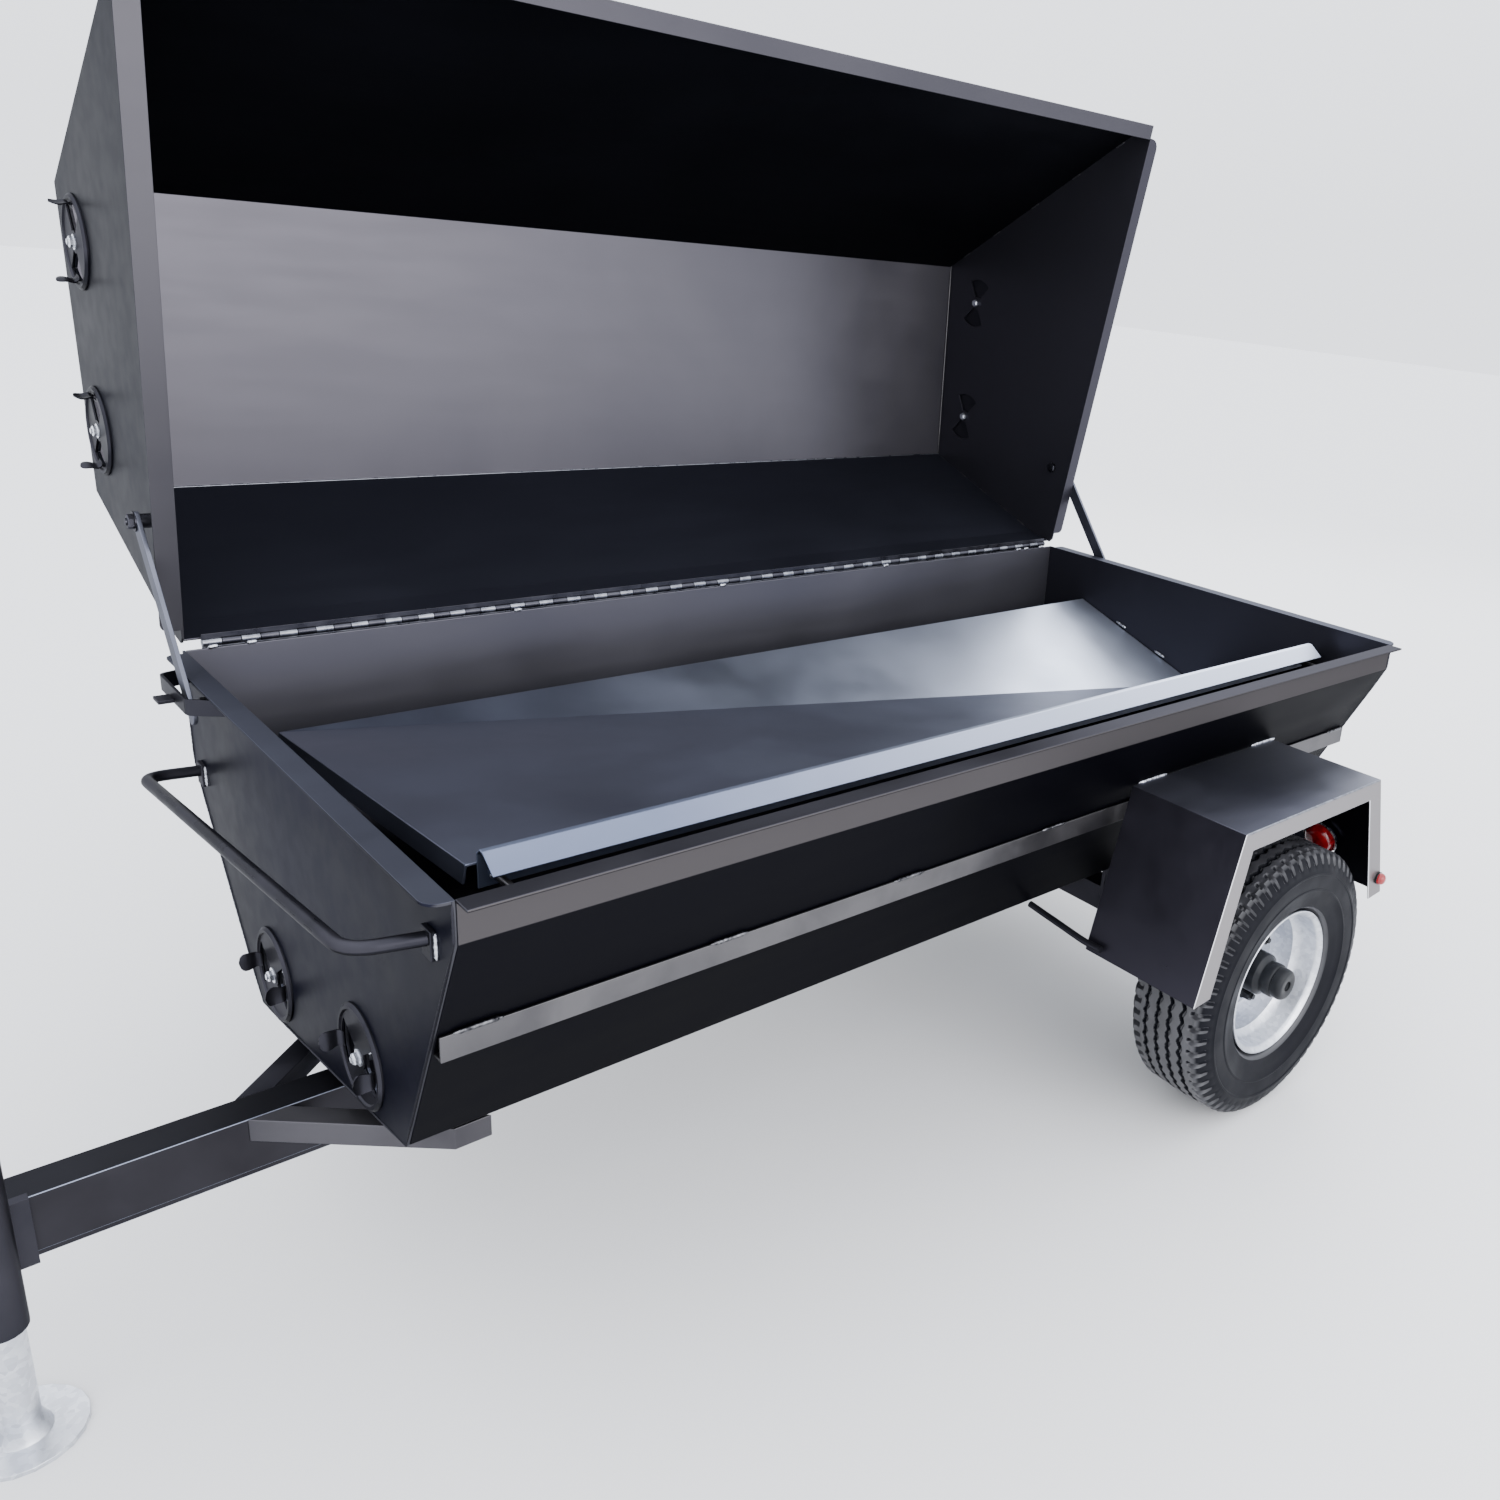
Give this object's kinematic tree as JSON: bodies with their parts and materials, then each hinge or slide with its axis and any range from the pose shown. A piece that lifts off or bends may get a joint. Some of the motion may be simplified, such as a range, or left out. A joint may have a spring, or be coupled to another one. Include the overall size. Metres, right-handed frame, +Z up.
{
  "type": "trailer smoker cooker",
  "caption": "Towable trough smoker: a folded-sheet tub with a hinged hood, drain pan, air dials and prop arms, on a two-wheel trailer frame with fenders, tongue and jack.",
  "frame": {"origin": "on the floor under the middle of the bounding box, with the hood open", "axes": "+X along the tub away from the tongue, +Y towards the hood's hinge, +Z up"},
  "size_m": [2.8776, 1.5314, 1.6895],
  "materials": {
    "black_steel": "satin black paint",
    "mill_steel": "bare steel",
    "zinc": "galvanised",
    "rubber": "matte",
    "red_lens": "gloss"
  },
  "bodies": {
    "frame": {"axle_beam": "black_steel", "charcoal_grate": "mill_steel", "coupler": "black_steel", "deflector_pan": "black_steel", "deflector_rail": "mill_steel", "drain_pipe": "zinc", "end_handle_left": "black_steel", "end_handle_right": "black_steel", "fender_back": "black_steel", "fender_front": "black_steel", "fender_stay_back": "black_steel", "fender_stay_front": "black_steel", "frame_brace_back": "black_steel", "frame_brace_front": "black_steel", "hinge_leaf_tub": "mill_steel", "hinge_pin": "zinc", "jack_tube": "black_steel", "marker_lamp_back": "red_lens", "marker_lamp_front": "red_lens", "pan_standoff_left": "mill_steel", "pan_standoff_right": "mill_steel", "release_tab_left": "black_steel", "release_tab_right": "black_steel", "side_rail_back": "mill_steel", "side_rail_front": "mill_steel", "strap_bracket_left": "black_steel", "strap_bracket_right": "black_steel", "tail_lamp_back": "red_lens", "tail_lamp_front": "red_lens", "tongue_lower_bar": "black_steel", "tongue_tube": "black_steel", "tub_end_left": "black_steel", "tub_end_right": "black_steel", "tub_shell": "black_steel"},
    "hood": {"hood_shell": "black_steel", "hood_end_left": "black_steel", "hood_end_right": "black_steel", "hinge_leaf_hood": "mill_steel", "hood_handle": "mill_steel", "prop_bolt_left": "zinc", "prop_bolt_right": "zinc"},
    "prop_arm_left": {"prop_arm_left": "black_steel"},
    "prop_arm_right": {"prop_arm_right": "black_steel"},
    "hood_dial_left_1": {"hood_vent_dial_left_1": "black_steel"},
    "hood_dial_left_2": {"hood_vent_dial_left_2": "black_steel"},
    "hood_dial_right_1": {"hood_vent_dial_right_1": "black_steel"},
    "hood_dial_right_2": {"hood_vent_dial_right_2": "black_steel"},
    "tub_dial_left_1": {"tub_vent_dial_left_1": "black_steel"},
    "tub_dial_left_2": {"tub_vent_dial_left_2": "black_steel"},
    "wheel_front": {"wheel_rim_front": "zinc", "tyre_front": "rubber", "wheel_hub_front": "black_steel"},
    "wheel_back": {"wheel_rim_back": "zinc", "tyre_back": "rubber", "wheel_hub_back": "black_steel"},
    "jack_leg": {"jack_leg": "zinc"},
    "jack_crank": {"jack_crank": "zinc"},
    "coupler_latch": {"coupler_latch": "zinc"},
    "fire_door": {"fire_door": "black_steel"},
    "drain_lever": {"drain_lever": "black_steel"}
  },
  "joints": [
    {"name": "hood_hinge", "type": "hinge", "parent": "frame", "child": "hood", "pos_m": [0.4407, 0.3403, 0.7635], "axis": [1, 0, 0], "range_deg": [0, 80]},
    {"name": "prop_arm_pivot_left", "type": "hinge", "parent": "hood", "child": "prop_arm_left", "pos_m": [-0.5053, 0.3549, 0.9425], "axis": [1, 0, 0], "range_deg": [-26, 0]},
    {"name": "prop_arm_pivot_right", "type": "hinge", "parent": "hood", "child": "prop_arm_right", "pos_m": [1.3867, 0.3549, 0.9425], "axis": [1, 0, 0], "range_deg": [-26, 0]},
    {"name": "hood_dial_left_1_turn", "type": "hinge", "parent": "hood", "child": "hood_dial_left_1", "pos_m": [-0.4738, 0.6728, 1.0168], "axis": [1, 0, 0], "range_deg": [0, 90]},
    {"name": "hood_dial_left_2_turn", "type": "hinge", "parent": "hood", "child": "hood_dial_left_2", "pos_m": [-0.4738, 0.662, 1.2911], "axis": [1, 0, 0], "range_deg": [0, 90]},
    {"name": "hood_dial_right_1_turn", "type": "hinge", "parent": "hood", "child": "hood_dial_right_1", "pos_m": [1.3552, 0.6728, 1.0168], "axis": [1, 0, 0], "range_deg": [0, 90]},
    {"name": "hood_dial_right_2_turn", "type": "hinge", "parent": "hood", "child": "hood_dial_right_2", "pos_m": [1.3552, 0.662, 1.2911], "axis": [1, 0, 0], "range_deg": [0, 90]},
    {"name": "tub_dial_left_1_turn", "type": "hinge", "parent": "frame", "child": "tub_dial_left_1", "pos_m": [-0.4738, -0.2855, 0.421], "axis": [1, 0, 0], "range_deg": [0, 90]},
    {"name": "tub_dial_left_2_turn", "type": "hinge", "parent": "frame", "child": "tub_dial_left_2", "pos_m": [-0.4738, 0.0345, 0.376], "axis": [1, 0, 0], "range_deg": [0, 90]},
    {"name": "wheel_front_spin", "type": "hinge", "parent": "frame", "child": "wheel_front", "pos_m": [0.8812, -0.6555, 0.248], "axis": [0, 1, 0], "continuous": true},
    {"name": "wheel_back_spin", "type": "hinge", "parent": "frame", "child": "wheel_back", "pos_m": [0.8812, 0.4185, 0.248], "axis": [0, 1, 0], "continuous": true},
    {"name": "jack_leg_slide", "type": "slide", "parent": "frame", "child": "jack_leg", "axis": [0, 0, 1], "range_m": [0, 0.12]},
    {"name": "jack_crank_turn", "type": "hinge", "parent": "frame", "child": "jack_crank", "pos_m": [-0.8368, -0.1779, 0.756], "axis": [0, 0, 1], "range_deg": [0, 1080]},
    {"name": "coupler_latch_pivot", "type": "hinge", "parent": "frame", "child": "coupler_latch", "pos_m": [-1.3468, -0.1185, 0.3035], "axis": [0, -1, 0], "range_deg": [0, 70]},
    {"name": "fire_door_hinge", "type": "hinge", "parent": "frame", "child": "fire_door", "pos_m": [1.3622, 0.0625, 0.421], "axis": [0, 0, 1], "range_deg": [0, 105]},
    {"name": "drain_lever_turn", "type": "hinge", "parent": "frame", "child": "drain_lever", "pos_m": [-0.4218, -0.0635, 0.2365], "axis": [0, -1, 0], "range_deg": [0, 90]}
  ],
  "couplings": [
    {"joint": "prop_arm_pivot_left", "follows": "hood_hinge", "ratio": -0.316},
    {"joint": "prop_arm_pivot_right", "follows": "hood_hinge", "ratio": -0.316},
    {"joint": "jack_crank_turn", "follows": "jack_leg_slide", "rad_per_m": 157}
  ]
}
